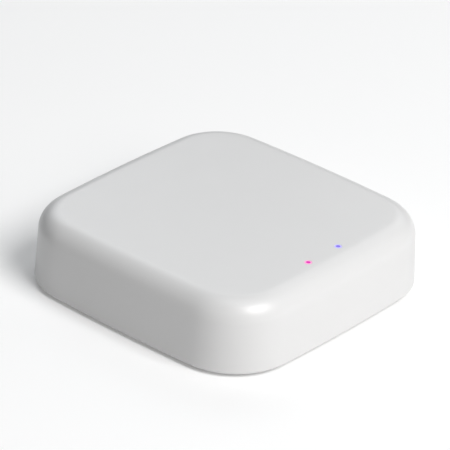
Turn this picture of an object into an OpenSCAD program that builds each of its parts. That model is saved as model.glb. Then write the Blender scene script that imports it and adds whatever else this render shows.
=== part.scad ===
// Smart home hub: a square, softly rounded box on four rubber feet. Two status lights show in its
// lid, and the power socket and the reset button are at the back.
// Millimetres, +Z up, front towards -Y. The origin is on the table, under the middle of the box.

/* [Cover] */
// Width and depth of the box, from mid-side to mid-side at its rim
body_w = 90; // [75:1:110]
// Height of the cover from its rim to its top
cover_h = 21.5; // [17.5:0.5:28]
// Radius of the four corners, seen from above
corner_r = 19.4; // [15:0.2:24]
// Half the angle of each bowed side's arc
side_bow = 2.3; // [1:0.1:4]
// Lean of the side walls
draft = 3; // [1:0.5:4]
// Radius of the round shoulder between side and top
shoulder_r = 6.5; // [4:0.5:8]
// Radius of the rim's outer edge
rim_r = 0.8; // [0.4:0.1:0.9]
// Thickness of the cover's wall
wall = 2.2; // [1.8:0.1:2.8]

/* [Base plate] */
// Thickness of the base plate
base_t = 2; // [1.6:0.1:2.4]
// Depth of the rebate's wall inside the cover's outside
rebate_in = 1.3; // [1.1:0.1:1.6]
// Gap all round the base plate's edge
base_gap = 0.15; // [0.05:0.05:0.3]
// Thickness of the locating lip that stands on the plate
lip_t = 1.2; // [0.8:0.1:1.6]
// Height of the locating lip
lip_h = 2; // [1.2:0.1:2.1]
// Width of a vent slot
vent_w = 1.6; // [1:0.1:2]
// Length of a vent slot
vent_len = 11; // [6:1:14]
// Vent slots in each row
vent_count = 7; // [3:1:9]

/* [Feet and label] */
// Diameter of a rubber foot
foot_d = 11.6; // [9:0.2:14]
// Height of a foot below the rim
foot_proud = 1; // [0.8:0.1:2.5]
// Depth of a foot's recess in the plate
foot_sink = 1; // [0.6:0.1:1.2]
// Width of the blank label
label_w = 44; // [30:1:50]
// Depth of the blank label from front to back
label_d = 22; // [16:1:24]
// Thickness of the label
label_t = 0.2; // [0.1:0.05:0.3]

/* [Case screws] */
// Distance of a screw out from the corner arc's centre, along X and along Y
post_out = 6; // [4:0.5:7]
// Diameter of the thread of a case screw
screw_d = 2.5; // [2:0.1:3]
// Length of a case screw under its head
screw_len = 8; // [6:0.5:9]
// Diameter of the head of a case screw
head_d = 4.2; // [3.6:0.1:5]
// Height of the head of a case screw
head_h = 1.7; // [1.4:0.1:2]
// Depth that the thread bites into the plastic
thread_bite = 0.2; // [0.1:0.05:0.25]
// Wall around a screw's hole in its post
post_wall = 1.6; // [1.3:0.1:2]

/* [Main board] */
// Thickness of the main board
board_t = 1.6; // [1:0.2:2]
// Height of the board above the plate
standoff_h = 3; // [2.6:0.2:4]
// Gap between the board's rear tab and the back wall
tab_gap = 0.6; // [0.5:0.1:1]
// Diameter of the thread of a board screw
board_screw_d = 2; // [1.6:0.1:2.2]
// Length of a board screw under its head
board_screw_len = 4.6; // [3.6:0.2:5]

/* [Status lights] */
// Distance between the two lights
led_gap = 13; // [9:0.5:18]
// Distance of the lights from the rim's front
led_setback = 9.6; // [9:0.2:14]
// Diameter of the tip of a light pipe, as seen in the lid
pipe_tip_d = 2.2; // [1.4:0.1:2.6]
// Diameter of the body of a light pipe
pipe_d = 3; // [2.8:0.1:3.4]
// Gap round a light pipe
pipe_gap = 0.05; // [0.02:0.01:0.1]
// Height of a status light on the board
led_h = 1.4; // [0.8:0.1:1.8]
// Height of the rubber block that keeps the two lights apart
shield_h = 5; // [3:0.5:7]

/* [Power socket] */
// Depth of the pocket that a plug's grip goes into
pocket_depth = 1.4; // [1:0.1:1.6]
// Width of the pocket
pocket_w = 13.2; // [12.6:0.2:15]
// Height of the pocket
pocket_h = 7.2; // [6.8:0.2:8]
// Gap round the socket in the wall
socket_gap = 0.15; // [0.1:0.05:0.3]

/* [Reset button] */
// Place of the button along X
button_x = -14; // [-16:0.5:-13]
// Diameter of the button's head
button_d = 3.6; // [3:0.2:4.4]
// Gap round the button in the wall
button_gap = 0.2; // [0.15:0.05:0.3]
// Height of the button's head above the wall
button_proud = 0.35; // [0.2:0.05:0.5]
// Travel of the button
button_travel = 0.3; // [0.2:0.05:0.4]

/* [Hidden] */
$fn = 48;
cut = 1; // how far a cutting solid runs past the face that it cuts

// Steps along the outline and the shoulder of the cover
corner_steps = 10;
side_steps = 4;
rim_steps = 3;
shoulder_steps = 9;

// Heights
rim_z = foot_proud;
floor_z = rim_z + base_t;
board_z = floor_z + standoff_h;
board_top = board_z + board_t;
top_z = rim_z + cover_h;
ceiling_z = top_z - wall;

// Plan of the cover: four corner arcs joined by four long side arcs, all tangent
half_w = body_w / 2;
corner_c = (half_w - corner_r) / (1 + tan(side_bow / 2));
side_r = corner_r + corner_c / sin(side_bow);
side_c = half_w - side_r;

// Section of the cover: rim arc, leaning wall and shoulder arc, all tangent
wall_low_z = rim_z + rim_r * (1 + sin(draft));
wall_low_in = rim_r * (1 - cos(draft));
wall_high_z = top_z - shoulder_r * (1 - sin(draft));
wall_high_in = wall_low_in + (wall_high_z - wall_low_z) * tan(draft);

// Base plate, feet and case screws
edge_in = rebate_in + base_gap;
lip_gap = 0.2;
lip_in = wall + wall_inset(floor_z + lip_h) + lip_gap;
post_c = corner_c + post_out;
foot_gap = 0.1;
foot_floor = rim_z + foot_sink;
head_gap = 0.3;
seat_z = foot_floor + head_gap + head_h;
seat_t = 2.3;
tower_top = seat_z + seat_t;
tower_d = head_d + 2 * head_gap + 2 * 1.3;
post_gap = 0.1;
post_d = screw_d + 2 * post_wall;
label_gap = 0.3;
vent_pitch = 4;
vent_row_y = label_d / 2 + 3 + vent_len / 2;

// Main board and its screws
board_half = half_w - 9;
board_end = half_w - 6;
board_cut_r = tower_d / 2 + 1.2;
tab_half = 8;
tab_y = half_w - wall_inset(board_top) - wall - tab_gap;
board_screw = [board_half - 4, post_c - 12];
board_hole_gap = 0.15;
board_head_d = 3.8;
board_head_h = 1.4;
standoff_d = 5.4;
test_x = -16;
pin_pitch = 2.54;

// Lights
led_x = led_gap / 2;
led_y = led_setback - half_w;
led_w = 3.2;
led_d = 2.8;
shield_bore_d = 4.6;
shield_wall = 1.4;
collar_d = pipe_d + 2.2;
collar_len = 4;
pipe_foot_d = 3.8;
pipe_foot_h = 0.8;
pipe_low_z = board_top + led_h + 0.6;

// Power socket: a Type-C receptacle of the standard size
usb_w = 8.94;
usb_h = 3.26;
usb_len = 7.35;
usb_t = 0.3;
usb_z = board_top + usb_h / 2;
pocket_y = half_w - wall_inset(usb_z) - pocket_depth;
usb_y = pocket_y - 0.1;
pocket_r = 2;
tongue_w = 6.69;
tongue_t = 0.7;
tongue_len = 4.45;
tongue_tip_y = usb_y - 0.9;
tongue_root_y = tongue_tip_y - tongue_len;
contact_t = 0.1;
contact_x = [-2.75, -1.52, -0.5, 0.5, 1.52, 2.75];
usb_leg_x = usb_w / 2 - usb_t / 2;
usb_leg_y = [usb_y - 2.2, usb_y - 6];
usb_leg = [usb_t, 1.1, board_t + 0.4];
usb_back_y = usb_y - usb_len;
usb_leg_gap = 0.2;

// Reset button and the side-push switch behind it
switch_w = 6;
switch_d = 3.5;
switch_h = 3.5;
button_z = board_top + switch_h / 2;
side_drop = side_r - sqrt(side_r * side_r - button_x * button_x);
button_wall_y = half_w - wall_inset(button_z) - side_drop;
button_face_y = button_wall_y + button_proud;
flange_gap = 0.25;
flange_t = 0.8;
flange_d = button_d + 1.6;
flange_y = button_wall_y - wall - flange_gap;
switch_y = tab_y - 3.2;
switch_cover_t = 0.2;
plunger_d = 2;
plunger_out = 1.1;
plunger_disc_d = 3;
plunger_disc_t = 0.6;
dome_d = 3.1;
dome_h = 0.45;
dome_t = 0.1;
switch_well_d = 3.5;
switch_well_depth = switch_cover_t + plunger_disc_t + dome_h;

// Radio modules: boards soldered flat on the main board, with their aerials over its two ends
module_t = 0.8;
module_y = -6;
can_h = 2.3;
can_gap = 1.1;
hole_pitch = 1.27;
hole_d = 0.7;
first_hole = 1.3;
solder_w = 0.5;
solder_root = sqrt(hole_d * hole_d - solder_w * solder_w) / 2;
wifi_len = 25.5;
wifi_w = 18;
wifi_aerial = 6.2;
wifi_holes = 14;
radio_len = 20;
radio_w = 14.8;
radio_aerial = 5;
radio_holes = 10;
aerial_w = 0.5;
aerial_t = 0.1;

// Power parts, counted back from the rear edge of the board
row_a_y = board_end - 4.5;
row_b_y = board_end - 13.5;
row_c_y = board_end - 21.5;
can_d = 6.3;
can_top = 7.7;
can_base_h = 1;
can_x = [-5, 3];
inductor_w = 6;
inductor_h = 3;
inductor_floor = 0.6;
coil_x = 3;
groove_d = inductor_w - 1;
core_d = inductor_w - 3.2;
fuse = [4.5, 3.2, 0.9];
fuse_x = 9.5;
diode = [4.3, 2.6, 2];
diode_x = 11.5;
crystal = [3.2, 2.5, 0.8];

// How far the cover's outside stands in from its widest line, at a height on the leaning wall
function wall_inset(z) = wall_low_in + max(0, z - wall_low_z) * tan(draft);

// Points of an arc, from angle a0 to just before a1
function arc(centre, r, a0, a1, steps) =
    [for (i = [0:steps - 1]) let (a = a0 + (a1 - a0) * i / steps)
        centre + r * [cos(a), sin(a)]];

function turned(p, a) = [p.x * cos(a) - p.y * sin(a), p.x * sin(a) + p.y * cos(a)];

// The cover's plan, set in from its widest line by inset
function plan(inset) =
    [for (quarter = [0:3])
        each [for (p = concat(
            arc([side_c, 0], side_r - inset, -side_bow, side_bow, side_steps),
            arc([corner_c, corner_c], corner_r - inset, side_bow, 90 - side_bow, corner_steps)
        )) turned(p, 90 * quarter)]];

// [inset, height] pairs of the cover's outside, from rim to top
function outside_rings() = concat(
    [for (i = [0:rim_steps]) let (a = -90 + (90 + draft) * i / rim_steps)
        [rim_r * (1 - cos(a)), rim_z + rim_r * (1 + sin(a))]],
    [for (i = [0:shoulder_steps]) shoulder_ring(draft + (90 - draft) * i / shoulder_steps, 0)]
);

// [inset, height] pairs of the cover's inside, from below the rim to the ceiling
function inside_rings() = concat(
    [[wall, rim_z - cut], [wall + wall_low_in, wall_low_z]],
    [for (i = [0:shoulder_steps])
        shoulder_ring(draft + (90 - draft) * i / shoulder_steps, wall)]
);

// A point of the shoulder at angle a above the horizon, on the surface that lies depth inside
function shoulder_ring(a, depth) = [
    wall_high_in + shoulder_r * cos(draft) - (shoulder_r - depth) * cos(a),
    top_z - shoulder_r + (shoulder_r - depth) * sin(a)
];

// A closed solid through rings of the cover's plan
module skin(rings) {
    count = len(plan(0));
    last = len(rings) - 1;
    polyhedron(
        points = [for (ring = rings) for (p = plan(ring[0])) [p.x, p.y, ring[1]]],
        faces = concat(
            [[for (j = [0:count - 1]) j]],
            [for (i = [0:last - 1]) for (j = [0:count - 1])
                let (a = i * count + j, b = i * count + (j + 1) % count)
                    [a, a + count, b + count, b]],
            [[for (j = [0:count - 1]) last * count + count - 1 - j]]
        )
    );
}

// A plate with the cover's plan
module plan_plate(inset, z, t) {
    translate([0, 0, z]) linear_extrude(t) polygon(plan(inset));
}

module at(x, y, z = 0) {
    translate([x, y, z]) children();
}

module at_four(x, y) {
    for (sx = [-1, 1], sy = [-1, 1])
        translate([sx * x, sy * y, 0]) children();
}

// A cylinder on Z between two heights
module rod(d, z0, z1) {
    translate([0, 0, z0]) cylinder(d = d, h = z1 - z0);
}

// A box centred on X and Y that stands on a height
module block(size, z) {
    translate([-size.x / 2, -size.y / 2, z]) cube(size);
}

// A flat shape in X and Z, made solid along +Y from y0 to y1
module along_y(y0, y1) {
    translate([0, y0, 0]) rotate([90, 0, 0]) mirror([0, 0, 1]) linear_extrude(y1 - y0) children();
}

module slot_shape(w, h) {
    square([w - h, h], center = true);
    for (s = [-1, 1]) translate([s * (w - h) / 2, 0]) circle(d = h);
}

module round_shape(w, h, r) {
    square([w - 2 * r, h], center = true);
    square([w, h - 2 * r], center = true);
    for (sx = [-1, 1], sy = [-1, 1])
        translate([sx * (w / 2 - r), sy * (h / 2 - r)]) circle(r);
}

// ---- Casing ----

module top_cover() {
    color("whitesmoke") difference() {
        union() {
            difference() {
                skin(outside_rings());
                skin(inside_rings());
                plan_plate(rebate_in, rim_z - cut, base_t + cut);
            }
            at_four(post_c, post_c) rod(post_d, tower_top + post_gap, ceiling_z + wall / 2);
            for (s = [-1, 1])
                at(s * led_x, led_y) rod(collar_d, ceiling_z - collar_len, ceiling_z + wall / 2);
        }
        at_four(post_c, post_c)
            rod(screw_d - 2 * thread_bite, tower_top - cut, seat_z + screw_len + cut);
        for (s = [-1, 1]) at(s * led_x, led_y) {
            rod(pipe_d + 2 * pipe_gap, ceiling_z - collar_len - cut, ceiling_z);
            rod(pipe_tip_d + 2 * pipe_gap, ceiling_z - cut, top_z + cut);
        }
        at(0, 0, usb_z) {
            along_y(pocket_y, half_w + cut) round_shape(pocket_w, pocket_h, pocket_r);
            along_y(usb_y - wall - cut, half_w)
                slot_shape(usb_w + 2 * socket_gap, usb_h + 2 * socket_gap);
        }
        at(button_x, 0, button_z)
            along_y(button_wall_y - wall - cut, half_w + cut) circle(d = button_d + 2 * button_gap);
    }
}

module base_plate() {
    color("white") difference() {
        union() {
            plan_plate(edge_in, rim_z, base_t);
            difference() {
                plan_plate(lip_in, rim_z + base_t / 2, base_t / 2 + lip_h);
                plan_plate(lip_in + lip_t, rim_z + base_t / 2 - cut, base_t / 2 + lip_h + 2 * cut);
            }
            at_four(post_c, post_c) rod(tower_d, rim_z + base_t / 2, tower_top);
            at_four(board_screw.x, board_screw.y) rod(standoff_d, rim_z + base_t / 2, board_z);
        }
        at_four(post_c, post_c) {
            rod(foot_d + 2 * foot_gap, rim_z - cut, foot_floor);
            rod(head_d + 2 * head_gap, foot_floor - cut, seat_z);
            rod(screw_d + 2 * head_gap, seat_z - cut, tower_top + cut);
        }
        at_four(board_screw.x, board_screw.y)
            rod(board_screw_d - 2 * thread_bite, board_top - board_screw_len - 0.3, board_z + cut);
        block([label_w + 2 * label_gap, label_d + 2 * label_gap, cut + label_t + 0.1], rim_z - cut);
        vents();
    }
}

// Two rows of slots in the plate, in front of the label and behind it
module vents() {
    for (side = [-1, 1], i = [0:vent_count - 1])
        translate([(i - (vent_count - 1) / 2) * vent_pitch, side * vent_row_y, rim_z - cut])
            linear_extrude(base_t + 2 * cut) rotate(90) slot_shape(vent_len, vent_w);
}

// A rubber disc with a chamfered lower edge, glued into its recess
module foot(sx, sy) {
    chamfer = 0.5;
    color("gainsboro") at(sx * post_c, sy * post_c) rotate_extrude() polygon([
        [0, 0],
        [foot_d / 2 - chamfer, 0],
        [foot_d / 2, chamfer],
        [foot_d / 2, foot_floor],
        [0, foot_floor]
    ]);
}

module blank_label() {
    color("white") block([label_w, label_d, label_t], rim_z + 0.1);
}

// A pan-head screw with a cross recess, its seat at z = 0 and its thread pointing up
module pan_screw(d, len, head, h) {
    rod(d, -h / 2, len - 0.6);
    translate([0, 0, len - 0.6]) cylinder(d1 = d, d2 = d / 2, h = 0.6);
    difference() {
        rotate_extrude() polygon([
            [0, 0], [head / 2, 0], [head / 2, -0.6 * h], [0.36 * head, -h], [0, -h]
        ]);
        for (a = [0, 90]) rotate(a) block([0.55 * head, 0.14 * head, 0.6 * h], -h - 0.01);
    }
}

module case_screws() {
    color("silver") at_four(post_c, post_c)
        translate([0, 0, seat_z]) pan_screw(screw_d, screw_len, head_d, head_h);
}

// ---- Main board ----

module board_shape() {
    difference() {
        union() {
            square([2 * board_half, 2 * board_end], center = true);
            translate([-tab_half, 0]) square([2 * tab_half, tab_y]);
        }
        for (sx = [-1, 1], sy = [-1, 1]) scale([sx, sy]) translate([post_c, post_c]) {
            circle(r = board_cut_r);
            translate([-board_cut_r, 0]) square(2 * half_w);
            translate([0, -board_cut_r]) square(2 * half_w);
        }
        for (sx = [-1, 1], sy = [-1, 1])
            translate([sx * board_screw.x, sy * board_screw.y])
                circle(d = board_screw_d + 2 * board_hole_gap);
        for (sx = [-1, 1], y = usb_leg_y)
            translate([sx * usb_leg_x, y])
                square([usb_leg.x + 2 * usb_leg_gap, usb_leg.y + 2 * usb_leg_gap], center = true);
        // a row of plated holes for test pins
        for (i = [0:3]) translate([test_x + pin_pitch * i, led_y + 12]) circle(d = 1);
    }
}

module main_board() {
    color("darkgreen") translate([0, 0, board_z]) linear_extrude(board_t) board_shape();
}

module board_screws() {
    color("silver") at_four(board_screw.x, board_screw.y)
        translate([0, 0, board_top]) mirror([0, 0, 1])
            pan_screw(board_screw_d, board_screw_len, board_head_d, board_head_h);
}

// ---- Power socket ----

module usb_shell() {
    rear_y = usb_back_y + 0.3;
    color("lightgray") {
        at(0, 0, usb_z) difference() {
            along_y(rear_y, usb_y) slot_shape(usb_w, usb_h);
            along_y(rear_y - cut, usb_y + cut) slot_shape(usb_w - 2 * usb_t, usb_h - 2 * usb_t);
        }
        for (s = [-1, 1], y = usb_leg_y)
            at(s * usb_leg_x, y)
                block([usb_leg.x, usb_leg.y, usb_leg.z + usb_h / 2], usb_z - usb_h / 2 - usb_leg.z);
    }
}

module usb_insulator() {
    gap = 0.02;
    color("dimgray") at(0, 0, usb_z) {
        along_y(usb_back_y, tongue_root_y)
            slot_shape(usb_w - 2 * (usb_t + gap), usb_h - 2 * (usb_t + gap));
        along_y(tongue_root_y - cut, tongue_tip_y) square([tongue_w, tongue_t], center = true);
    }
}

// Flat contacts on both faces of the tongue, each with a tail that lands on the board
module usb_contacts() {
    strip_w = 0.3;
    tip_gap = 0.4;
    tail_t = 0.2;
    tail_foot = 0.8;
    color("goldenrod") for (x = contact_x) translate([x - strip_w / 2, 0, 0]) {
        for (z = [tongue_t / 2, -tongue_t / 2 - contact_t])
            translate([0, tongue_root_y, usb_z + z])
                cube([strip_w, tongue_len - tip_gap, contact_t]);
        translate([0, usb_back_y - tail_t, board_top]) cube([strip_w, tail_t, usb_h / 2]);
        translate([0, usb_back_y - tail_t - tail_foot, board_top])
            cube([strip_w, tail_foot, tail_t]);
    }
}

// ---- Radio modules ----

// Puts a module's own frame on the main board: its aerial end at x = 0, its length along +X.
module on_end(sx) {
    translate([sx * board_half, module_y, board_top]) rotate(sx > 0 ? 180 : 0) children();
}

module castellated_board(len, w, aerial, holes) {
    color("seagreen") linear_extrude(module_t) difference() {
        translate([0, -w / 2]) square([len, w]);
        for (s = [-1, 1], i = [0:holes - 1])
            translate([aerial + first_hole + i * hole_pitch, s * w / 2]) circle(d = hole_d);
    }
}

module shield_can(len, w, aerial) {
    size = [len - aerial - 2 * can_gap, w - 2 * can_gap];
    skin_t = 0.25;
    color("silver") translate([aerial + can_gap + size.x / 2, 0, module_t]) difference() {
        linear_extrude(can_h) round_shape(size.x, size.y, 0.8);
        translate([0, 0, -cut]) linear_extrude(can_h - skin_t + cut)
            round_shape(size.x - 2 * skin_t, size.y - 2 * skin_t, 0.55);
    }
}

// A folded aerial track that runs to and fro across the end of the module
module folded_aerial(w, aerial, folds) {
    reach = aerial - 1.6;
    step = (w - 3) / folds;
    color("peru") translate([0.8, -w / 2 + 1.5, module_t]) linear_extrude(aerial_t) {
        for (i = [0:folds]) translate([0, i * step - aerial_w / 2]) square([reach, aerial_w]);
        for (i = [0:folds - 1])
            translate([i % 2 == 0 ? 0 : reach - aerial_w, i * step - aerial_w / 2])
                square([aerial_w, step + aerial_w]);
    }
}

// Solder that climbs each half hole from the main board, as small wedges
module solder_row(w, aerial, holes) {
    climb = 0.7;
    reach = 0.6;
    for (s = [-1, 1], i = [0:holes - 1])
        translate([aerial + first_hole + i * hole_pitch - solder_w / 2, s * w / 2, 0])
            scale([1, s, 1]) rotate([90, 0, 90]) linear_extrude(solder_w)
                polygon([[-solder_root, 0], [reach, 0], [-solder_root, climb]]);
}

module module_solder_joints() {
    color("lightgray") {
        on_end(-1) solder_row(wifi_w, wifi_aerial, wifi_holes);
        on_end(1) solder_row(radio_w, radio_aerial, radio_holes);
    }
}

// ---- Power parts and chips ----

// Two rows of bent leads along X, for a chip whose body is w wide and stands on z
module gull_leads(count, pitch, body_d, lead_w, foot, z) {
    t = 0.15;
    for (s = [-1, 1], i = [0:count - 1]) translate([(i - (count - 1) / 2) * pitch, 0, 0])
        scale([1, s, 1]) translate([-lead_w / 2, body_d / 2, 0]) {
            translate([0, 0, z]) cube([lead_w, 0.4, t]);
            translate([0, 0.4, 0]) cube([lead_w, t, z + t]);
            translate([0, 0.4 + t, 0]) cube([lead_w, foot, t]);
        }
}

// A moulded chip body whose upper sides lean in
module chip_body(w, d, h, z) {
    lean = 0.15;
    translate([0, 0, z]) hull() {
        block([w, d, h / 2], 0);
        block([w - 2 * lean, d - 2 * lean, h], 0);
    }
}

module at_regulator() { at(11.5, row_b_y, board_top) children(); }
module at_flash() { at(-4, led_y + 14.5, board_top) children(); }
module at_fuse() { at(fuse_x, row_a_y, board_top) children(); }
module at_diode() { at(diode_x, row_c_y, board_top) children(); }

module buck_regulator() { color("dimgray") at_regulator() chip_body(2.9, 1.6, 1, 0.1); }
module flash_memory() { color("dimgray") at_flash() chip_body(4.9, 3.9, 1.4, 0.15); }

module chip_leads() {
    color("lightgray") {
        at_regulator() gull_leads(3, 0.95, 1.6, 0.4, 0.2, 0.5);
        at_flash() gull_leads(4, 1.27, 3.9, 0.42, 0.4, 0.8);
    }
}

module input_fuse() { color("olivedrab") at_fuse() block(fuse, 0); }
module surge_diode() { color("dimgray") at_diode() chip_body(diode.x, diode.y, diode.z, 0.1); }

// A ferrite drum in a ferrite ring; the winding fills the round groove between them
module power_inductor() {
    color("darkslategray") at(coil_x, row_c_y, board_top) difference() {
        linear_extrude(inductor_h) round_shape(inductor_w, inductor_w, 1.2);
        translate([0, 0, inductor_floor]) difference() {
            cylinder(d = groove_d, h = inductor_h);
            translate([0, 0, -cut]) cylinder(d = core_d, h = inductor_h + 2 * cut);
        }
    }
}

module inductor_winding() {
    gap = 0.05;
    color("peru") at(coil_x, row_c_y, board_top + inductor_floor) difference() {
        cylinder(d = groove_d - 2 * gap, h = inductor_h - 1);
        translate([0, 0, -cut]) cylinder(d = core_d + 2 * gap, h = inductor_h + cut);
    }
}

// Rolled aluminium cans with a crimp groove above their plastic bases
module capacitor_cans() {
    groove = 0.3;
    r = can_d / 2;
    color("silver") for (x = can_x) at(x, row_b_y, board_top + can_base_h) rotate_extrude()
        polygon([
            [0, 0], [r, 0], [r, 0.9], [r - groove, 1.2], [r, 1.5],
            [r, can_top - can_base_h - 0.3], [r - 0.3, can_top - can_base_h],
            [0, can_top - can_base_h]
        ]);
}

module capacitor_bases() {
    w = can_d + 0.3;
    color("black") for (x = can_x) at(x, row_b_y, board_top) linear_extrude(can_base_h) difference() {
        square(w, center = true);
        for (s = [-1, 1]) translate([s * w / 2, w / 2]) rotate(45) square(1.6, center = true);
    }
}

// Places of the small two-ended parts: [x, y, turn]
capacitor_places = [
    [9.5, row_b_y + 4, 0], [13.5, row_b_y + 4, 0], [-5, row_c_y, 90], [-8, row_c_y, 90],
    [-6, module_y + 12.6, 0], [7, module_y + 11, 90], [9, led_y + 14, 90], [-12, led_y + 17, 0],
    [2, led_y + 20, 0], [5, led_y + 20, 0]
];
resistor_places = [
    [-8, row_a_y, 90], [7.5, row_b_y, 90], [-11, row_c_y, 90], [-9.5, module_y + 12.6, 0],
    [-3, led_y + 7, 0], [3, led_y + 7, 0], [12, led_y + 14, 90], [-7, led_y + 20, 0],
    [2, module_y, 90], [2, module_y + 4, 90]
];
small_len = 1.6;
small_w = 0.8;
small_end = 0.3;

module small_bodies(places, h) {
    for (p = places) at(p[0], p[1], board_top) rotate(p[2])
        block([small_len - 2 * small_end, small_w, h], 0);
}

module ceramic_capacitors() { color("tan") small_bodies(capacitor_places, 0.8); }
module chip_resistors() { color("black") small_bodies(resistor_places, 0.45); }

// Tinned ends of the small parts, the fuse and the surge diode
module passive_terminals() {
    cap_t = 0.4;
    color("lightgray") {
        for (kind = [[capacitor_places, 0.85], [resistor_places, 0.5]], p = kind[0], s = [-1, 1])
            at(p[0], p[1], board_top) rotate(p[2])
                at(s * (small_len - small_end) / 2, 0) block([small_end, small_w + 0.05, kind[1]], 0);
        for (s = [-1, 1]) {
            at_fuse() at(s * (fuse.x + cap_t) / 2, 0) block([cap_t, fuse.y, fuse.z + 0.05], 0);
            at_diode() at(s * (diode.x + cap_t) / 2, 0) block([cap_t, 1.5, diode.z / 2], 0);
        }
    }
}

module crystal_can() {
    color("silver") at(5, led_y + 14.5, board_top) {
        linear_extrude(0.2) round_shape(crystal.x, crystal.y, 0.2);
        linear_extrude(crystal.z) round_shape(crystal.x - 0.3, crystal.y - 0.3, 0.4);
    }
}

// ---- Status lights ----

module status_led(s) {
    color("ivory") at(s * led_x, led_y, board_top) difference() {
        block([led_w, led_d, led_h], 0);
        translate([0, 0, led_h - 0.3]) cylinder(d1 = 1.8, d2 = 2.2, h = 0.3 + 0.01);
    }
}

// A clear rod: a foot that gathers the light, a body in the collar and a thinner tip in the lid
module light_pipe(s) {
    color("aliceblue") at(s * led_x, led_y) {
        rod(pipe_foot_d, pipe_low_z, pipe_low_z + pipe_foot_h);
        rod(pipe_d, pipe_low_z, ceiling_z);
        rod(pipe_tip_d, ceiling_z - cut, top_z);
    }
}

module light_shield() {
    color("black") difference() {
        at(0, led_y)
            block([led_gap + shield_bore_d + 2 * shield_wall, shield_bore_d + 2 * shield_wall,
                shield_h], board_top);
        for (s = [-1, 1])
            at(s * led_x, led_y) rod(shield_bore_d, board_top - cut, board_top + shield_h + cut);
    }
}

// ---- Reset button ----

// A round bar on Y, in line with the button
module button_bar(d, y0, y1) {
    at(button_x, 0, button_z) along_y(y0, y1) circle(d = d);
}

module reset_button() {
    edge = 0.25;
    color("whitesmoke") {
        button_bar(2.6, switch_y + plunger_out, flange_y);
        button_bar(flange_d, flange_y - flange_t, flange_y);
        button_bar(button_d, flange_y - flange_t, button_face_y - edge);
        translate([button_x, button_face_y - edge, button_z]) rotate([-90, 0, 0])
            cylinder(d1 = button_d, d2 = button_d - 2 * edge, h = edge);
    }
}

module switch_housing() {
    color("dimgray") difference() {
        at(button_x, switch_y - switch_cover_t - (switch_d - switch_cover_t) / 2)
            block([switch_w, switch_d - switch_cover_t, switch_h], board_top);
        button_bar(switch_well_d, switch_y - switch_well_depth, switch_y + cut);
    }
}

module switch_cover() {
    color("lightgray") difference() {
        at(button_x, switch_y - switch_cover_t / 2)
            block([switch_w, switch_cover_t, switch_h], board_top);
        button_bar(plunger_d + 0.2, switch_y - cut, switch_y + cut);
    }
}

module switch_plunger() {
    inner_y = switch_y - switch_cover_t;
    color("black") {
        button_bar(plunger_disc_d, inner_y - plunger_disc_t, inner_y);
        button_bar(plunger_d, inner_y - plunger_disc_t, switch_y + plunger_out);
    }
}

// A thin sprung dome, its crown against the plunger and its rim on the floor of the well
module switch_dome() {
    crown_y = switch_y - switch_cover_t - plunger_disc_t;
    ball_r = (dome_d * dome_d / 4 + dome_h * dome_h) / (2 * dome_h);
    color("silver") translate([button_x, crown_y, button_z]) rotate([90, 0, 0])
        intersection() {
            cylinder(d = dome_d, h = dome_h);
            translate([0, 0, ball_r]) difference() {
                sphere(ball_r);
                sphere(ball_r - dome_t);
            }
        }
}

module switch_terminals() {
    pad = [1.2, 1, 0.2];
    color("lightgray") for (s = [-1, 1])
        at(button_x + s * (switch_w + pad.x) / 2, switch_y - 1.6, board_top) block(pad, 0);
}

top_cover();
base_plate();
foot(-1, -1);  // foot_front_left
foot(1, -1);  // foot_front_right
foot(-1, 1);  // foot_rear_left
foot(1, 1);  // foot_rear_right
blank_label();
case_screws();
main_board();
board_screws();
usb_shell();
usb_insulator();
usb_contacts();
on_end(-1) castellated_board(wifi_len, wifi_w, wifi_aerial, wifi_holes);  // wifi_board
on_end(-1) shield_can(wifi_len, wifi_w, wifi_aerial);  // wifi_shield_can
on_end(-1) folded_aerial(wifi_w, wifi_aerial, 6);  // wifi_antenna
on_end(1) castellated_board(radio_len, radio_w, radio_aerial, radio_holes);  // radio_board
on_end(1) shield_can(radio_len, radio_w, radio_aerial);  // radio_shield_can
on_end(1) folded_aerial(radio_w, radio_aerial, 5);  // radio_antenna
module_solder_joints();
input_fuse();
surge_diode();
buck_regulator();
flash_memory();
chip_leads();
power_inductor();
inductor_winding();
capacitor_cans();
capacitor_bases();
ceramic_capacitors();
chip_resistors();
passive_terminals();
crystal_can();
status_led(-1);  // status_led_left
status_led(1);  // status_led_right
light_pipe(-1);  // light_pipe_left
light_pipe(1);  // light_pipe_right
light_shield();
reset_button();
switch_housing();
switch_cover();
switch_plunger();
switch_dome();
switch_terminals();
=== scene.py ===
import math

import bpy
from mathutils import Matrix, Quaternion, Vector


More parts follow.
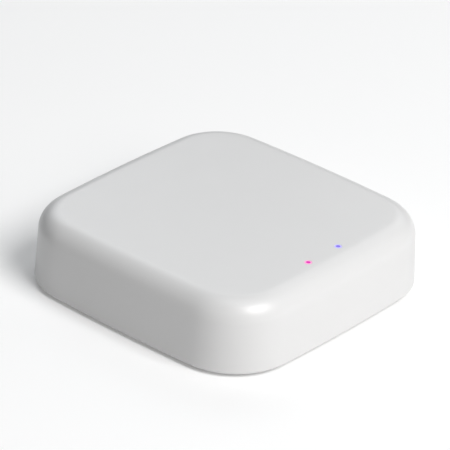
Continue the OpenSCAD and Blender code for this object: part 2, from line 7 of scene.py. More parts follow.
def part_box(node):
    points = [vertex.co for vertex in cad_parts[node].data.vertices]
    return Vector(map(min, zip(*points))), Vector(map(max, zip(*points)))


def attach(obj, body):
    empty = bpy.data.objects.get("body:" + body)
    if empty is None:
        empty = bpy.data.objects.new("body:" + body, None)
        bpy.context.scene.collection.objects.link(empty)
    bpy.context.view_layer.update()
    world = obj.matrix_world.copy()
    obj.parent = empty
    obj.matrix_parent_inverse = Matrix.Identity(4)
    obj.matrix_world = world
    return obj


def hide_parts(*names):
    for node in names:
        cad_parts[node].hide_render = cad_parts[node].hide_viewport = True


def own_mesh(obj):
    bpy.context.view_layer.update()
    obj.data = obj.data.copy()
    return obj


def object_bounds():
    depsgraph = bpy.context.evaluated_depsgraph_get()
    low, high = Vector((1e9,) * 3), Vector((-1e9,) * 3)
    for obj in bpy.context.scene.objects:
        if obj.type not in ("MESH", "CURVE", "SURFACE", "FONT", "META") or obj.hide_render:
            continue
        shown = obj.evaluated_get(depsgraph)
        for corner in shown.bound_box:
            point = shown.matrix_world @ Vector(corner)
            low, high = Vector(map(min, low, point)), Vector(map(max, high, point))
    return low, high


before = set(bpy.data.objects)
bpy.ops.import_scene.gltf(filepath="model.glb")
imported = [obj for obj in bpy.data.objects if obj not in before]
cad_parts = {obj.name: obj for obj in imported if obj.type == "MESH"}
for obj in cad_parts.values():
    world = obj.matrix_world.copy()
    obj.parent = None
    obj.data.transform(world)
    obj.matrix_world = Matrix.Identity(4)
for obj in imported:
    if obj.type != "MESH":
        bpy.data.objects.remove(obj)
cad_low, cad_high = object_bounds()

mm = 0.001

# ---- Camera ----
# A long lens looks down on the hub's front left corner from about a metre away, so that two
# walls and the lid show and the outline hardly tapers. It is held very slightly tilted.
cover_low, cover_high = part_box("top_cover")
azimuth, elevation, tilt = math.radians(-50.0), math.radians(29.21), math.radians(2.86)
towards_camera = Vector((
    math.sin(azimuth) * math.cos(elevation),
    -math.cos(azimuth) * math.cos(elevation),
    math.sin(elevation),
))
aim_height, camera_distance = 9 * mm, 959 * mm
aim = Vector((0, 0, cover_low.z + aim_height))
bpy.ops.object.camera_add(location=aim + camera_distance * towards_camera)
camera = bpy.context.object
camera.rotation_mode = "QUATERNION"
camera.rotation_quaternion = towards_camera.to_track_quat("Z", "Y") @ Quaternion((0, 0, 1), tilt)
camera.data.lens = 267.1
camera.data.shift_x = -0.0031
camera.data.shift_y = 0.0526
camera.data.clip_start = 0.05
bpy.context.scene.camera = camera

# ---- Studio ----
# A white table that glows a little, as a light table does, under large soft lamps. The
# strongest stands in front of the hub, which leaves its left wall in half shade. Past the table
# the room looks pale, but it gives no light.
bpy.context.scene.view_settings.view_transform = "Standard"
world = bpy.data.worlds.new("studio")
bpy.context.scene.world = world
world.use_nodes = True
background = world.node_tree.nodes["Background"]
background.inputs["Color"].default_value = (0.85, 0.85, 0.85, 1)
seen = world.node_tree.nodes.new("ShaderNodeLightPath")
world.node_tree.links.new(seen.outputs["Is Camera Ray"], background.inputs["Strength"])

table_width = 4000 * mm
bpy.ops.mesh.primitive_plane_add(size=table_width)
table = bpy.context.object
table.name = "table"
table_white = bpy.data.materials.new("table_white")
table_white.use_nodes = True
shader = table_white.node_tree.nodes["Principled BSDF"]
shader.inputs["Base Color"].default_value = (0.8, 0.8, 0.8, 1)
shader.inputs["Roughness"].default_value = 0.9
shader.inputs["Specular IOR Level"].default_value = 0.1
shader.inputs["Emission Color"].default_value = (1, 1, 1, 1)
shader.inputs["Emission Strength"].default_value = 0.16
table.data.materials.append(table_white)

# Name, direction in degrees (0 is in front of the hub, negative to its left), height above the
# horizon in degrees, power in watts and colour
warm, neutral, cool = (1, 0.965, 0.94), (1, 1, 1), (0.93, 0.97, 1)
lamps = [
    ("front_low_lamp", -10, 35, 6.5, warm),
    ("front_high_lamp", 0, 50, 18.2, neutral),
    ("top_lamp", 0, 88, 3.4, cool),
    ("right_lamp", 110, 35, 2.7, neutral),
    ("rear_lamp", 150, 35, 3.7, cool),
]
lamp_distance, lamp_width = 1500 * mm, 800 * mm
for name, around, up, power, colour in lamps:
    around, up = math.radians(around), math.radians(up)
    place = Vector((
        math.sin(around) * math.cos(up), -math.cos(around) * math.cos(up), math.sin(up)
    ))
    bpy.ops.object.light_add(type="AREA", location=lamp_distance * place)
    lamp = bpy.context.object
    lamp.name = name
    lamp.rotation_mode = "QUATERNION"
    lamp.rotation_quaternion = place.to_track_quat("Z", "Y")
    lamp.data.shape = "SQUARE"
    lamp.data.size = lamp_width
    lamp.data.energy = power
    lamp.data.color = colour

# ---- Top cover ----
# One moulding of white ABS: the lid, its round shoulder and four slightly bowed, leaning
# walls. Screw posts and the collars of the light pipes hang from its ceiling, a rebate in its
# rim takes the base plate, and the back wall has a pocket for the plug and a button hole.
half_width = cad_high.x
corner_radius = 19.4 * mm
side_bow = math.radians(2.3)
draft = math.radians(3)
shoulder_radius = 6.5 * mm
rim_radius = 0.8 * mm
wall = 2.2 * mm
rebate, rebate_depth = 1.3 * mm, 2 * mm
rim_z, lid_z = cover_low.z, cover_high.z
ceiling_z = lid_z - wall
plate_z = rim_z + rebate_depth
corner_centre = (half_width - corner_radius) / (1 + math.tan(side_bow / 2))
side_centre = half_width - corner_radius - corner_centre / math.sin(side_bow)


def outline(name, inset, height):
    """A face with the cover's plan, facing up: a point spun round the centre of each arc."""
    reach = half_width - side_centre - inset
    start = (side_centre + reach * math.cos(side_bow), -reach * math.sin(side_bow), height)
    bpy.ops.object.select_all(action="DESELECT")
    bpy.ops.mesh.primitive_plane_add(size=mm, location=start)
    bpy.ops.object.transform_apply()
    piece = bpy.context.object
    piece.name = name
    bpy.ops.object.mode_set(mode="EDIT")
    bpy.ops.mesh.select_mode(type="VERT")
    bpy.ops.mesh.merge(type="CENTER")
    for quarter in range(4):
        facing = Quaternion((0, 0, 1), quarter * math.pi / 2)
        bpy.ops.mesh.spin(
            steps=20, angle=-2 * side_bow, axis=(0, 0, 1),
            center=facing @ Vector((side_centre, 0, height)),
        )
        bpy.ops.mesh.spin(
            steps=24, angle=2 * side_bow - math.pi / 2, axis=(0, 0, 1),
            center=facing @ Vector((corner_centre, corner_centre, height)),
        )
    bpy.ops.mesh.select_all(action="SELECT")
    bpy.ops.mesh.remove_doubles(threshold=0.001 * mm)
    bpy.ops.mesh.edge_face_add()
    bpy.ops.mesh.flip_normals()
    return piece


def step_in(profile):
    """Carries the selected face on: each pair is how far in from its first edge, and how far out."""
    done_in = done_out = 0
    for inward, outward in profile:
        bpy.ops.mesh.inset(
            thickness=max(0, inward - done_in), depth=outward - done_out, use_boundary=True
        )
        done_in, done_out = inward, outward


def arc(radius, first, last, steps, inward=0, outward=0):
    """Pairs for step_in round an arc. Angles are in degrees, 0 facing away from the axis."""
    angles = [math.radians(first + (last - first) * i / steps) for i in range(steps + 1)]
    return [(inward - radius * math.cos(a), outward + radius * math.sin(a)) for a in angles]


def cap():
    """Closes the open edge that step_in leaves behind, and keeps the new face selected."""
    bpy.ops.mesh.select_all(action="DESELECT")
    bpy.ops.mesh.select_mode(type="EDGE")
    bpy.ops.mesh.select_non_manifold()
    bpy.ops.mesh.edge_face_add()
    bpy.ops.mesh.select_mode(type="FACE")


def combine(piece, other, operation):
    """Joins the other solid to the piece, or cuts it out of it."""
    bpy.ops.object.mode_set(mode="OBJECT")
    bpy.ops.object.select_all(action="DESELECT")
    bpy.context.view_layer.objects.active = piece
    piece.select_set(True)
    bpy.ops.object.modifier_add(type="BOOLEAN")
    joint = piece.modifiers[-1]
    joint.operation = operation
    joint.solver = "EXACT"
    joint.use_self = True
    joint.object = other
    bpy.ops.object.modifier_apply(modifier=joint.name)
    bpy.data.objects.remove(other)


def start_solids(name):
    """An empty mesh object in edit mode, for primitives that are added one after another."""
    bpy.ops.object.select_all(action="DESELECT")
    bpy.ops.mesh.primitive_plane_add(size=mm)
    solids = bpy.context.object
    solids.name = name
    bpy.ops.object.mode_set(mode="EDIT")
    bpy.ops.mesh.delete(type="VERT")
    return solids


def end_solids(solids):
    """Turns every face outwards and leaves edit mode."""
    bpy.ops.mesh.select_all(action="SELECT")
    bpy.ops.mesh.normals_make_consistent(inside=False)
    bpy.ops.object.mode_set(mode="OBJECT")
    return solids


def disc(place, diameter, profile, turn=(0, 0, 0), points=48):
    """A round solid that starts as a disc facing up, or as turn turns it, and steps in from there."""
    bpy.ops.mesh.primitive_circle_add(
        vertices=points, radius=diameter / 2, fill_type="NGON", location=place, rotation=turn
    )
    bpy.ops.mesh.select_mode(type="FACE")
    step_in(profile)
    cap()


def plate(place, size, corner, profile, turn=(0, 0, 0)):
    """A solid that starts as a rectangle with round corners, and steps in from there."""
    bpy.ops.mesh.primitive_plane_add(size=1, location=place, rotation=turn)
    bpy.ops.transform.resize(value=size, center_override=place)
    bpy.ops.mesh.bevel(offset=corner, segments=8, affect="VERTICES")
    bpy.ops.mesh.select_mode(type="FACE")
    step_in(profile)
    cap()


def mouth(radius, start=1 * mm):
    """Pairs for step_in round the edge of a hole, for a cutter that starts that far outside it.

    The rounding starts 0.02 mm short of the surface, so that no ring of the cutter lies in it.
    """
    first = start - 0.02 * mm
    turns = [math.radians(90 * i / 4) for i in range(5)]
    return [(radius * math.sin(a), first + radius * (1 - math.cos(a))) for a in turns]


facing_down = (math.pi, 0, 0)
facing_front = (math.pi / 2, 0, 0)
facing_back = (-math.pi / 2, 0, 0)
along_wall = (math.pi / 2 + draft, 0, 0)

wall_foot = rim_z + rim_radius * (1 + math.sin(draft))
wall_head = lid_z - shoulder_radius * (1 - math.sin(draft))
lean = (wall_head - wall_foot) * math.tan(draft)
shoulder_z = lid_z - shoulder_radius
shoulder_in = lean + shoulder_radius * math.cos(draft)
draft_angle = math.degrees(draft)
lid_step = 2 * mm

cover = outline("cover_shell", 0, wall_foot)
step_in(
    arc(shoulder_radius, draft_angle, 90, 20, shoulder_in, shoulder_z - wall_foot)
    + [(shoulder_in + lid_step, lid_z - wall_foot)]
)
cap()
down = wall_foot
step_in(
    arc(rim_radius, -draft_angle, 90, 6, rim_radius * math.cos(draft), down - rim_z - rim_radius)
    + [(rebate, down - rim_z), (rebate, down - plate_z), (wall, down - plate_z)]
    + [
        (inward, -outward) for inward, outward
        in arc(shoulder_radius - wall, draft_angle, 90, 8, shoulder_in, shoulder_z - down)
    ]
)
end_solids(cover)

# Screw posts and light-pipe collars, then everything that is cut or drilled
led_low, led_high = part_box("light_pipe_left")
led_x, led_y = -(led_low.x + led_high.x) / 2, (led_low.y + led_high.y) / 2
post_x = -(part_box("foot_front_left")[0].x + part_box("foot_front_left")[1].x) / 2
corners = [(x, y) for x in (-post_x, post_x) for y in (-post_x, post_x)]
tower_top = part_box("base_plate")[1].z
into_lid = 1 * mm
post_width, post_gap = 5.7 * mm, 0.1 * mm
collar_width, collar_tall = 5.2 * mm, 4 * mm

posts = start_solids("posts")
for x, y in corners:
    foot = tower_top + post_gap
    disc((x, y, foot), post_width, [(0, ceiling_z + into_lid - foot)])
for x in (-led_x, led_x):
    foot = ceiling_z - collar_tall
    disc((x, led_y, foot), collar_width, [(0, ceiling_z + into_lid - foot)])
combine(cover, end_solids(posts), "UNION")

usb_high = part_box("usb_shell")[1]
usb_half_tall, usb_set_back = 1.63 * mm, 0.1 * mm
usb_z = usb_high.z - usb_half_tall
pocket_floor = usb_high.y + usb_set_back
back_wall_y = half_width - (usb_z - wall_foot) * math.tan(draft)
button_low, button_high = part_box("reset_button")
button_x, button_z = (button_low.x + button_high.x) / 2, (button_low.z + button_high.z) / 2
pilot_width, pilot_top, pilot_below = 2.1 * mm, rim_z + 12 * mm, 0.5 * mm
pipe_hole, tip_hole, pipe_step = 3.1 * mm, 2.3 * mm, 0.4 * mm
tip_cut, pocket_cut, button_cut = 1.5 * mm, 1.7 * mm, 1.6 * mm
pocket_wide, pocket_tall, pocket_corner = 13.2 * mm, 7.2 * mm, 2 * mm
slot_wide, slot_tall, slot_start, slot_depth = 9.24 * mm, 3.56 * mm, 0.5 * mm, 3 * mm
button_hole, button_hole_depth, button_proud = 4 * mm, 5 * mm, 0.35 * mm
button_wall = button_high.y - button_proud
nearly_round = 0.49

drills = start_solids("drills")
for x, y in corners:
    foot = tower_top - pilot_below
    disc((x, y, foot), pilot_width, [(0, pilot_top - foot)])
edge = 0.06 * mm
for x in (-led_x, led_x):
    foot = ceiling_z - collar_tall - pilot_below
    disc((x, led_y, foot), pipe_hole, [
        (0, ceiling_z - foot), (pipe_step, ceiling_z - foot), (pipe_step, lid_z + mm - foot)
    ])
    disc((x, led_y, lid_z + mm), tip_hole + 2 * edge, mouth(edge) + [(edge, tip_cut)],
         facing_down)
plate(
    (0, back_wall_y + mm, usb_z), (pocket_wide, 1, pocket_tall), pocket_corner,
    [(0, back_wall_y + mm - pocket_floor)], facing_front,
)
edge = 0.45 * mm
across, tall = pocket_wide + 2 * edge, pocket_tall + 2 * edge
plate(
    (0, back_wall_y + mm, usb_z + mm * math.tan(draft)), (across, tall, tall),
    pocket_corner + edge, mouth(edge) + [(edge, pocket_cut)], along_wall,
)
edge = 0.2 * mm
across, tall = slot_wide + 2 * edge, slot_tall + 2 * edge
plate(
    (0, pocket_floor + slot_start, usb_z), (across, 1, tall), nearly_round * tall,
    mouth(edge, slot_start) + [(edge, slot_depth)], facing_front,
)
disc((button_x, half_width + mm, button_z), button_hole, [(0, button_hole_depth)], facing_front)
disc(
    (button_x, button_wall + mm, button_z + mm * math.tan(draft)), button_hole + 2 * edge,
    mouth(edge) + [(edge, button_cut)], along_wall,
)
combine(cover, end_solids(drills), "DIFFERENCE")


def smooth(piece, angle=30):
    """Shades the piece smoothly, with a crease wherever two faces meet at more than the angle."""
    bpy.ops.object.mode_set(mode="OBJECT")
    bpy.ops.object.select_all(action="DESELECT")
    bpy.context.view_layer.objects.active = piece
    piece.select_set(True)
    bpy.ops.object.shade_smooth_by_angle(angle=math.radians(angle))


def material(name, colour, roughness, metallic=0):
    """A plain finish, which the functions below give its detail."""
    made = bpy.data.materials.new(name)
    made.use_nodes = True
    shader = made.node_tree.nodes["Principled BSDF"]
    shader.inputs["Base Color"].default_value = (*colour, 1)
    shader.inputs["Roughness"].default_value = roughness
    shader.inputs["Metallic"].default_value = metallic
    return made


def noise(made, size, stretch=(1, 1, 1), detail=2):
    """A noise pattern on the object's own coordinates, with features of about that size."""
    tree = made.node_tree
    place = tree.nodes.new("ShaderNodeTexCoord")
    mapping = tree.nodes.new("ShaderNodeMapping")
    mapping.inputs["Scale"].default_value = stretch
    pattern = tree.nodes.new("ShaderNodeTexNoise")
    pattern.inputs["Scale"].default_value = 1 / size
    pattern.inputs["Detail"].default_value = detail
    tree.links.new(place.outputs["Object"], mapping.inputs["Vector"])
    tree.links.new(mapping.outputs["Vector"], pattern.inputs["Vector"])
    return pattern.outputs["Fac"]


def between(made, pattern, low, high, name="Roughness"):
    """Lets the pattern move one of the shader's values between two limits."""
    tree = made.node_tree
    span = tree.nodes.new("ShaderNodeMapRange")
    span.inputs["From Min"].default_value = 0.3
    span.inputs["From Max"].default_value = 0.7
    span.inputs["To Min"].default_value = low
    span.inputs["To Max"].default_value = high
    tree.links.new(pattern, span.inputs["Value"])
    tree.links.new(span.outputs["Result"], tree.nodes["Principled BSDF"].inputs[name])


def tint(made, pattern, *colours, low=0.3, high=0.7):
    """Lets the pattern choose the colour along a ramp."""
    tree = made.node_tree
    ramp = tree.nodes.new("ShaderNodeValToRGB")
    stops = ramp.color_ramp.elements
    for i in range(len(colours) - 2):
        stops.new(0.5)
    for i, colour in enumerate(colours):
        stops[i].position = low + (high - low) * i / (len(colours) - 1)
        stops[i].color = (*colour, 1)
    tree.links.new(pattern, ramp.inputs["Fac"])
    tree.links.new(ramp.outputs["Color"], tree.nodes["Principled BSDF"].inputs["Base Color"])


def bumps(made, pattern, height):
    """Raises the surface by up to that height where the pattern is bright."""
    tree = made.node_tree
    shader = tree.nodes["Principled BSDF"]
    bump = tree.nodes.new("ShaderNodeBump")
    bump.inputs["Distance"].default_value = height
    tree.links.new(pattern, bump.inputs["Height"])
    if shader.inputs["Normal"].is_linked:
        tree.links.new(shader.inputs["Normal"].links[0].from_socket, bump.inputs["Normal"])
    tree.links.new(bump.outputs["Normal"], shader.inputs["Normal"])


def white_abs(name, colour, roughness):
    """White ABS: a fine spark-eroded grain over the faint waviness of a moulding."""
    made = material(name, colour, roughness)
    cloud = noise(made, 14 * mm)
    tint(made, cloud, [c * 0.992 for c in colour], colour)
    between(made, noise(made, 6 * mm), roughness - 0.03, roughness + 0.03)
    bumps(made, cloud, 0.02 * mm)
    bumps(made, noise(made, 0.25 * mm, detail=3), 0.0025 * mm)
    return made


def show(piece, made, body, slot, *nodes):
    """Gives a finished piece its material, its body and the nodes it stands for. The slot is not
    used.
    """
    piece.data.materials.clear()
    piece.data.materials.append(made)
    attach(piece, body)
    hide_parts(*nodes)


smooth(cover)
show(cover, white_abs("cover_white", (0.68, 0.68, 0.68), 0.34), "housing",
     "cover_plastic", "top_cover")

# ---- Base plate ----
# A flat ABS moulding that drops into the rebate of the cover's rim. It carries a locating lip,
# a tower for each case screw and a standoff for each board screw, and it is pierced by two
# rows of vents. Round recesses take the feet and a shallow one the label.
plate_gap = 0.15 * mm
plate_in = rebate + plate_gap
plate_thick = plate_z - rim_z
plate_round = 0.3 * mm
lip_in, lip_thick, lip_tall = 2.57 * mm - plate_in, 1.2 * mm, 2 * mm
board_low, board_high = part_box("main_board")
screws_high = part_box("board_screws")[1]
screw_head_radius = 1.9 * mm
board_screw_x, board_screw_y = screws_high.x - screw_head_radius, screws_high.y - screw_head_radius
board_holes = [
    (x, y) for x in (-board_screw_x, board_screw_x) for y in (-board_screw_y, board_screw_y)
]
foot_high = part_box("foot_front_left")[1]
label_low, label_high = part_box("blank_label")
label_wide, label_deep = label_high.x - label_low.x, label_high.y - label_low.y

base = outline("base_plate_moulding", plate_in, rim_z + plate_round)
rise = plate_thick - plate_round
step_in([
    (0, rise), (lip_in, rise), (lip_in, rise + lip_tall),
    (lip_in + lip_thick, rise + lip_tall), (lip_in + lip_thick, rise),
])
cap()
step_in(arc(plate_round, 0, 90, 4, plate_round))
end_solids(base)

tower_width, standoff_width = 7.4 * mm, 5.4 * mm
towers = start_solids("towers")
for x, y in corners:
    disc((x, y, rim_z + mm), tower_width, [(0, tower_top - rim_z - mm)])
for x, y in board_holes:
    disc((x, y, rim_z + mm), standoff_width, [(0, board_low.z - rim_z - mm)])
combine(base, end_solids(towers), "UNION")

foot_recess, head_step, shank_step = 11.8 * mm, 3.5 * mm, 4.35 * mm
screw_seat, screw_drill = 3 * mm, 8 * mm
board_pilot, board_pilot_foot, board_drill = 1.6 * mm, 4.9 * mm, 5 * mm
label_room, label_corner = 0.8 * mm, 1.2 * mm
vent_wide, vent_long, vent_pitch, vent_drill = 1.6 * mm, 11 * mm, 4 * mm, 5 * mm
vents_from_label = 8.5 * mm
vent_y = label_deep / 2 + vents_from_label

drills = start_solids("drills")
start_z = rim_z - mm
edge = 0.2 * mm
for x, y in corners:
    sink = foot_high.z - start_z
    seat = rim_z + screw_seat - start_z
    disc((x, y, start_z), foot_recess + 2 * edge, mouth(edge) + [
        (edge, sink), (edge + head_step, sink), (edge + head_step, seat),
        (edge + shank_step, seat), (edge + shank_step, screw_drill),
    ])
for x, y in board_holes:
    disc((x, y, board_high.z - board_pilot_foot), board_pilot, [(0, board_drill)])
edge = 0.1 * mm
plate(
    (0, 0, start_z), (label_wide + label_room, label_deep + label_room, 1), label_corner,
    mouth(edge) + [(edge, label_high.z - start_z)],
)
edge = 0.25 * mm
across, along = vent_wide + 2 * edge, vent_long + 2 * edge
for row in (-1, 1):
    for i in range(-3, 4):
        plate(
            (i * vent_pitch, row * vent_y, start_z), (across, along, 1),
            nearly_round * across, mouth(edge) + [(edge, vent_drill)],
        )
combine(base, end_solids(drills), "DIFFERENCE")
smooth(base)
show(base, white_abs("base_white", (0.67, 0.67, 0.665), 0.45), "housing",
     "base_plastic", "base_plate")

# ---- Feet ----
# Four discs of light grey silicone rubber, punched from sheet with a rounded lower edge and
# two grip rings. They are glued into their recesses, over the case screws.
rubber = material("grey_rubber", (0.42, 0.42, 0.43), 0.75)
tint(rubber, noise(rubber, 3 * mm), (0.39, 0.39, 0.40), (0.45, 0.45, 0.46))
between(rubber, noise(rubber, mm), 0.68, 0.85)
bumps(rubber, noise(rubber, 0.12 * mm, detail=3), 0.01 * mm)

foot_round = 0.6 * mm
foot_tall = foot_high.z
grip_depth = 0.12 * mm
grips = [
    (inward + across, foot_tall - sunk)
    for inward in (1.4 * mm, 3 * mm)
    for across, sunk in ((0, 0), (0.1 * mm, grip_depth), (0.5 * mm, grip_depth), (0.6 * mm, 0))
]
for across in ("left", "right"):
    for along in ("front", "rear"):
        node = f"foot_{along}_{across}"
        low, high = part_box(node)
        foot = start_solids(f"rubber_{node}")
        disc(
            ((low.x + high.x) / 2, (low.y + high.y) / 2, foot_tall), high.x - low.x,
            [(0, foot_tall - foot_round)]
            + arc(foot_round, 0, 90, 6, foot_round, foot_tall - foot_round) + grips,
            facing_down, points=64,
        )
        end_solids(foot)
        smooth(foot)
        show(foot, rubber, "housing", "foot_rubber", node)

# ---- Blank label ----
# A plain film label with round corners, stuck in its recess under the base. Nothing is
# printed on it.
film = material("label_film", (0.74, 0.74, 0.73), 0.4)
tint(film, noise(film, 8 * mm), (0.72, 0.72, 0.71), (0.76, 0.76, 0.75))
between(film, noise(film, 0.5 * mm), 0.34, 0.46)
bumps(film, noise(film, 0.4 * mm), 0.004 * mm)

film_thick, film_edge, film_corner = label_high.z - label_low.z, 0.04 * mm, 1 * mm
label = start_solids("film_label")
plate(
    (0, 0, label_high.z), (label_wide, label_deep, 1), film_corner,
    [(0, film_thick - film_edge), (film_edge, film_thick)], facing_down,
)
end_solids(label)
smooth(label)
show(label, film, "housing", "label_film", "blank_label")

# ---- Screws ----
# Zinc-plated steel pan-head screws: four hold the base plate, four hold the board. Their
# cross recesses are struck into the heads.


def metal(name, colour, roughness, size=0.3 * mm, stretch=(1, 1, 1), height=0.002 * mm):
    """A metal with faint marks of that size, drawn out where stretch is under 1."""
    made = material(name, colour, roughness, metallic=1)
    marks = noise(made, size, stretch, detail=4)
    tint(made, marks, [c * 0.88 for c in colour], colour)
    between(made, marks, roughness - 0.06, roughness + 0.1)
    bumps(made, marks, height)
    return made


def coat(made, *nodes):
    """Gives CAD nodes a better material."""
    for node in nodes:
        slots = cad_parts[node].data.materials
        slots.clear()
        slots.append(made)


coat(metal("zinc_plate", (0.62, 0.63, 0.66), 0.32), "case_screws", "board_screws")

# ---- Main board ----
# A glass-epoxy board 1.6 mm thick. Its green solder mask lies thicker over the copper, which
# shows as paler, slightly raised tracks, and small plated holes join its layers.
mask = material("solder_mask", (0.012, 0.16, 0.06), 0.3)
tree = mask.node_tree
place = tree.nodes.new("ShaderNodeTexCoord")
tracks = tree.nodes.new("ShaderNodeTexBrick")
tracks.inputs["Scale"].default_value = 1 / (6 * mm)
tracks.inputs["Color1"].default_value = (0, 0, 0, 1)
tracks.inputs["Color2"].default_value = (0, 0, 0, 1)
tracks.inputs["Mortar"].default_value = (1, 1, 1, 1)
tracks.inputs["Mortar Size"].default_value = 0.03
tracks.inputs["Mortar Smooth"].default_value = 0.2
tracks.inputs["Brick Width"].default_value = 0.9
tracks.inputs["Row Height"].default_value = 0.16
tree.links.new(place.outputs["Object"], tracks.inputs["Vector"])
tint(mask, tracks.outputs["Color"], (0.008, 0.12, 0.045), (0.02, 0.21, 0.08), low=0, high=1)
between(mask, noise(mask, 2 * mm), 0.24, 0.36)
bumps(mask, tracks.outputs["Color"], 0.03 * mm)
bumps(mask, noise(mask, 0.5 * mm), 0.004 * mm)
coat(mask, "main_board")

module_mask = material("module_mask", (0.01, 0.03, 0.07), 0.3)
tint(module_mask, noise(module_mask, 1.5 * mm), (0.008, 0.025, 0.06), (0.015, 0.045, 0.10))
between(module_mask, noise(module_mask, 2 * mm), 0.25, 0.38)
bumps(module_mask, noise(module_mask, 0.5 * mm), 0.004 * mm)
coat(module_mask, "wifi_board", "radio_board")

# ---- Power socket ----
# A USB Type-C receptacle: a drawn shell of nickel-plated steel, a black nylon insulator with
# its tongue, and gold-plated contacts.
coat(metal("nickel", (0.68, 0.67, 0.64), 0.24, 0.15 * mm, (1, 0.1, 1)), "usb_shell")
coat(metal("gold_plate", (0.85, 0.60, 0.22), 0.25), "usb_contacts", "wifi_antenna", "radio_antenna")


def moulded(name, colour, roughness):
    """A matt filled plastic, epoxy or fired ceramic with a fine even grain."""
    made = material(name, colour, roughness)
    tint(made, noise(made, 0.8 * mm), [c * 0.8 for c in colour], [c * 1.15 for c in colour])
    between(made, noise(made, 0.6 * mm), roughness - 0.08, roughness + 0.08)
    bumps(made, noise(made, 0.08 * mm, detail=3), 0.006 * mm)
    return made


black_nylon = moulded("black_nylon", (0.022, 0.022, 0.024), 0.5)
coat(black_nylon, "usb_insulator", "capacitor_bases", "switch_housing")

# ---- Radio modules ----
# Small boards soldered flat to the main board by half-holes along their edges. Each has a
# drawn tin-plated can over its chips and a folded aerial track beyond it.
coat(metal("solder", (0.72, 0.72, 0.74), 0.2), "module_solder_joints", "chip_leads",
     "passive_terminals", "switch_terminals")
tinned = metal("tinned_steel", (0.70, 0.70, 0.71), 0.28, 0.4 * mm, (1, 0.15, 1))
sheet_thick, bend, can_corner = 0.25 * mm, 0.35 * mm, 0.8 * mm
pressed_in, pressed_slope, pressed_depth = 0.6 * mm, 0.08 * mm, 0.06 * mm
pressed_room = 0.1 * mm
for node in ("wifi_shield_can", "radio_shield_can"):
    low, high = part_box(node)
    tall = high.z - low.z
    can = start_solids(f"drawn_{node}")
    plate(
        ((low.x + high.x) / 2, (low.y + high.y) / 2, low.z),
        (high.x - low.x, high.y - low.y, 1), can_corner,
        [(0, tall - bend)] + arc(bend, 0, 90, 4, bend, tall - bend)
        + [(pressed_in, tall), (pressed_in + pressed_slope, tall - pressed_depth)],
    )
    step_in([(sheet_thick, 0), (sheet_thick, sheet_thick - tall + pressed_room)])
    end_solids(can)
    smooth(can)
    show(can, tinned, "housing", "can_steel", node)

# ---- Chips and power parts ----
# Epoxy chips, a ferrite coil, two aluminium capacitors, a resettable fuse, a surge diode and
# the small ceramic parts round them, all soldered to the board's upper face.
coat(moulded("black_epoxy", (0.028, 0.028, 0.03), 0.6), "surge_diode", "buck_regulator",
     "flash_memory")
coat(moulded("ferrite", (0.05, 0.05, 0.055), 0.7), "power_inductor")
coat(metal("enamelled_copper", (0.62, 0.25, 0.10), 0.3, 0.2 * mm, (1, 1, 0.1)), "inductor_winding")
coat(metal("can_aluminium", (0.78, 0.79, 0.80), 0.25, 0.2 * mm, (1, 1, 0.1)), "capacitor_cans")
coat(metal("crystal_steel", (0.72, 0.72, 0.72), 0.22), "crystal_can")
coat(moulded("fuse_green", (0.09, 0.12, 0.04), 0.55), "input_fuse")
coat(moulded("tan_ceramic", (0.42, 0.27, 0.15), 0.45), "ceramic_capacitors")
coat(moulded("black_glaze", (0.02, 0.02, 0.022), 0.3), "chip_resistors")

# ---- Status lights ----
# Two surface-mounted lights under clear acrylic rods, kept apart by a black rubber block. The
# lit tips, level with the lid, are all that shows: a bright middle in a paler ring.
coat(moulded("light_body", (0.80, 0.78, 0.66), 0.35), "status_led_left", "status_led_right")
coat(moulded("black_rubber", (0.02, 0.02, 0.02), 0.8), "light_shield")

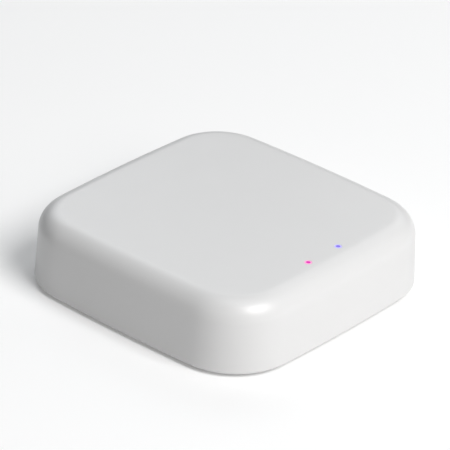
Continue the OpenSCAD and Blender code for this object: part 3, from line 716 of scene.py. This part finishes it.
rod_foot, rod_foot_step, tip_step, tip_edge = 0.8 * mm, 0.4 * mm, 0.8 * mm, 0.05 * mm
tip_radius = 1.1 * mm
middle_ends, ring_starts = 0.52, 0.66
rods = [
    ("light_pipe_left", (0.79, 0.0, 0.45), (1.0, 0.42, 0.72)),
    ("light_pipe_right", (0.22, 0.16, 0.87), (0.57, 0.54, 1.0)),
]
for node, core, halo in rods:
    low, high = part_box(node)
    x, y = (low.x + high.x) / 2, (low.y + high.y) / 2
    to_shoulder, to_tip = ceiling_z - low.z, high.z - low.z
    rod = start_solids(f"acrylic_{node}")
    disc((x, y, low.z), high.x - low.x, [
        (0, rod_foot), (rod_foot_step, rod_foot), (rod_foot_step, to_shoulder),
        (tip_step, to_shoulder), (tip_step, to_tip - tip_edge), (tip_step + tip_edge, to_tip),
    ])
    end_solids(rod)
    smooth(rod)
    lit = material(f"lit_{node}", (0.02, 0.02, 0.02), 0.25)
    tree = lit.node_tree
    shader = tree.nodes["Principled BSDF"]
    place = tree.nodes.new("ShaderNodeTexCoord")
    centred = tree.nodes.new("ShaderNodeMapping")
    centred.inputs["Location"].default_value = (-x, -y, 0)
    centred.inputs["Scale"].default_value = (1, 1, 0)
    radius = tree.nodes.new("ShaderNodeVectorMath")
    radius.operation = "LENGTH"
    share = tree.nodes.new("ShaderNodeMath")
    share.operation = "DIVIDE"
    share.inputs[1].default_value = tip_radius
    ramp = tree.nodes.new("ShaderNodeValToRGB")
    ramp.color_ramp.elements[0].position = middle_ends
    ramp.color_ramp.elements[0].color = (*core, 1)
    ramp.color_ramp.elements[1].position = ring_starts
    ramp.color_ramp.elements[1].color = (*halo, 1)
    tree.links.new(place.outputs["Object"], centred.inputs["Vector"])
    tree.links.new(centred.outputs["Vector"], radius.inputs[0])
    tree.links.new(radius.outputs["Value"], share.inputs[0])
    tree.links.new(share.outputs["Value"], ramp.inputs["Fac"])
    tree.links.new(ramp.outputs["Color"], shader.inputs["Emission Color"])
    shader.inputs["Emission Strength"].default_value = 1.0
    shader.inputs["Specular IOR Level"].default_value = 0.2
    bumps(lit, noise(lit, 0.15 * mm), 0.003 * mm)
    show(rod, lit, "housing", node, node)

# ---- Reset button ----
# A small ABS button with a dished face, in a hole of the back wall. Its flange stops it falling
# out, and its stem rests on the plunger of a side-push switch, whose steel dome springs both
# back.
flange_gap, flange_thick, flange_edge = 0.25 * mm, 0.8 * mm, 0.8 * mm
flange_y = button_wall - wall - flange_gap
reach = button_high.y - flange_y + flange_thick
head_round = 0.3 * mm
stem_step = 1.3 * mm
dish = [(1.3 * mm, 0), (1.7 * mm, 0.08 * mm), (2.2 * mm, 0.12 * mm)]
button = start_solids("button_moulding")
disc(
    (button_x, flange_y - flange_thick, button_z), button_high.x - button_low.x,
    [(0, flange_thick), (flange_edge, flange_thick), (flange_edge, reach - head_round)]
    + arc(head_round, 0, 90, 4, flange_edge + head_round, reach - head_round)
    + [(inward, reach - sunk) for inward, sunk in dish],
    facing_back,
)
step_in([(stem_step, 0), (stem_step, flange_y - flange_thick - button_low.y)])
end_solids(button)
smooth(button)
show(button, white_abs("button_white", (0.67, 0.67, 0.665), 0.4), "reset_key",
     "button_plastic", "reset_button")

coat(moulded("grey_acetal", (0.25, 0.25, 0.25), 0.4), "switch_plunger")
spring_steel = metal("spring_steel", (0.70, 0.69, 0.67), 0.25)
coat(spring_steel, "switch_cover")

dome_low, dome_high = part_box("switch_dome")
dome_rim, dome_tall = (dome_high.x - dome_low.x) / 2, dome_high.y - dome_low.y
ball = (dome_rim ** 2 + dome_tall ** 2) / (2 * dome_tall)
rim_angle = math.degrees(math.acos(dome_rim / ball))
dome_thick, crown_angle = 0.1 * mm, 87
dome = start_solids("sprung_dome")
dome_arc = arc(ball, rim_angle, crown_angle, 8, dome_rim, dome_tall - ball)
disc((button_x, dome_low.y, button_z), 2 * dome_rim, dome_arc, facing_back)
hollow = 1 - dome_thick / dome_tall
step_in([(dome_thick + inward, -hollow * outward) for inward, outward in dome_arc[:-1]])
end_solids(dome)
smooth(dome, 60)
show(dome, spring_steel, "housing", "switch_steel", "switch_dome")
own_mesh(dome)
